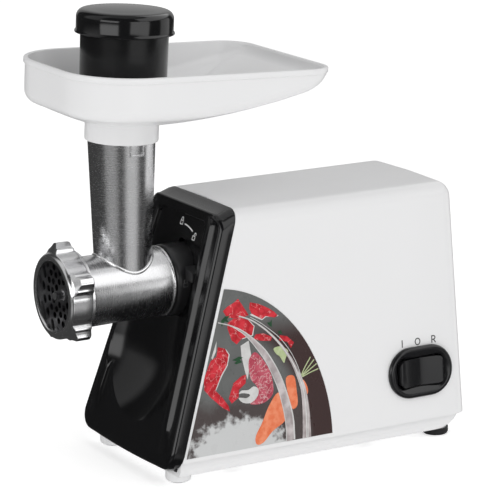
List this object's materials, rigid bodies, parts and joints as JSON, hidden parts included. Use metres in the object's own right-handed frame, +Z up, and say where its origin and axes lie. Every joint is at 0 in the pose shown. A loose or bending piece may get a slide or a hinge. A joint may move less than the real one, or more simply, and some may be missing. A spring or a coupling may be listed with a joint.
{
  "type": "electric meat grinder",
  "caption": "Electric meat grinder with a white housing, black slanted front, metal head with feed tube, tray, pusher, ring nut and rocker switch.",
  "frame": {"origin": "on the table, under the middle of the whole machine", "axes": "+Z up, the grinding head points to -Y, the rocker switch is on the +X side"},
  "size_m": [0.144, 0.3258, 0.3422],
  "materials": {
    "white_shell": "white moulded ABS, satin gloss",
    "base_white": "white moulded ABS",
    "feet_rubber": "black rubber",
    "fascia_black": "piano black ABS",
    "socket_black": "black nylon, satin",
    "button_black": "black ABS",
    "foil_print": "printed foil with a clear coat",
    "switch_black": "black nylon",
    "switch_case": "black nylon",
    "board_green": "glass-fibre board",
    "capacitor_yellow": "film capacitor case",
    "wire_brown": "PVC insulation",
    "screw_steel": "zinc plated",
    "gearbox_alloy": "die cast",
    "bush_bronze": "sintered bronze",
    "lamination": "laminated silicon steel",
    "copper_coil": "enamelled copper",
    "bearing_steel": "ground",
    "holder_resin": "phenolic resin",
    "carbon": "carbon",
    "nylon_white": "nylon",
    "gear_steel": "sintered steel",
    "head_aluminium": "polished and brushed casting",
    "nut_aluminium": "polished casting",
    "plate_steel": "ground carbon steel",
    "knife_steel": "stainless",
    "tray_white": "white moulded ABS",
    "pusher_black": "black ABS, glossy"
  },
  "bodies": {
    "machine": {"main_housing": "white_shell", "base_plate": "base_white", "rubber_feet": "feet_rubber", "front_fascia": "fascia_black", "head_socket": "socket_black", "side_foil": "foil_print", "switch_bezel": "switch_black", "switch_body": "switch_case", "cord_gland": "switch_case", "circuit_board": "board_green", "filter_capacitor": "capacitor_yellow", "wiring": "wire_brown", "base_screws": "screw_steel", "socket_screws": "screw_steel", "gearbox_housing": "gearbox_alloy", "gearbox_cover": "gearbox_alloy", "gearbox_screws": "screw_steel", "output_bush": "bush_bronze", "shaft_bushes": "bush_bronze", "stator_core": "lamination", "field_coils": "copper_coil", "motor_bracket": "gearbox_alloy", "motor_screws": "screw_steel", "motor_bearings": "bearing_steel", "brush_holders": "holder_resin", "carbon_brushes": "carbon"},
    "rotor": {"motor_shaft": "bearing_steel", "armature_core": "lamination", "armature_winding": "copper_coil", "commutator": "copper_coil", "cooling_fan": "nylon_white", "motor_pinion": "gear_steel"},
    "first_stage": {"first_gear": "nylon_white", "first_shaft": "bearing_steel", "second_pinion": "gear_steel"},
    "second_stage": {"second_gear": "nylon_white", "second_shaft": "bearing_steel", "third_pinion": "gear_steel"},
    "output_drive": {"output_gear": "gear_steel", "output_shaft": "bearing_steel", "auger": "head_aluminium", "auger_bush": "nylon_white", "cross_knife": "knife_steel"},
    "head": {"grinding_head": "head_aluminium", "cutting_plate": "plate_steel"},
    "nut": {"ring_nut": "nut_aluminium"},
    "tray": {"tray": "tray_white"},
    "pusher": {"pusher_body": "pusher_black"},
    "cap": {"pusher_cap": "pusher_black"},
    "button": {"release_button": "button_black"},
    "rocker": {"switch_rocker": "switch_black"}
  },
  "joints": [
    {"name": "motor_spin", "type": "hinge", "parent": "machine", "child": "rotor", "pos_m": [0, 0.04693, 0.064], "axis": [0, 1, 0], "continuous": true},
    {"name": "first_stage_spin", "type": "hinge", "parent": "machine", "child": "first_stage", "pos_m": [-0.02, -0.00807, 0.08472], "axis": [0, 1, 0], "continuous": true},
    {"name": "second_stage_spin", "type": "hinge", "parent": "machine", "child": "second_stage", "pos_m": [0.00894, -0.01807, 0.10058], "axis": [0, 1, 0], "continuous": true},
    {"name": "output_spin", "type": "hinge", "parent": "machine", "child": "output_drive", "pos_m": [0, -0.04307, 0.137], "axis": [0, 1, 0], "continuous": true},
    {"name": "head_lock", "type": "hinge", "parent": "machine", "child": "head", "pos_m": [0, -0.06307, 0.137], "axis": [0, 1, 0], "range_deg": [0, 31]},
    {"name": "ring_nut_turn", "type": "hinge", "parent": "head", "child": "nut", "pos_m": [0, -0.15107, 0.137], "axis": [0, -1, 0], "range_deg": [0, 540]},
    {"name": "tray_lift", "type": "slide", "parent": "head", "child": "tray", "axis": [0, 0.0454, 0.999], "range_m": [0, 0.08]},
    {"name": "pusher_lift", "type": "slide", "parent": "tray", "child": "pusher", "axis": [0, 0.0454, 0.999], "range_m": [0, 0.13]},
    {"name": "cap_lift", "type": "slide", "parent": "pusher", "child": "cap", "axis": [0, 0.0454, 0.999], "range_m": [0, 0.03]},
    {"name": "button_press", "type": "slide", "parent": "machine", "child": "button", "axis": [0, 1, 0], "range_m": [0, 0.003], "stiffness_N_per_m": 400},
    {"name": "rocker_tip", "type": "hinge", "parent": "machine", "child": "rocker", "pos_m": [0.06487, 0.11543, 0.05583], "axis": [-0.0956, 0, 0.9954], "range_deg": [-10, 10]}
  ],
  "couplings": [
    {"joint": "first_stage_spin", "follows": "motor_spin", "ratio": -0.2},
    {"joint": "second_stage_spin", "follows": "motor_spin", "ratio": 0.044444},
    {"joint": "output_spin", "follows": "motor_spin", "ratio": -0.011111}
  ]
}
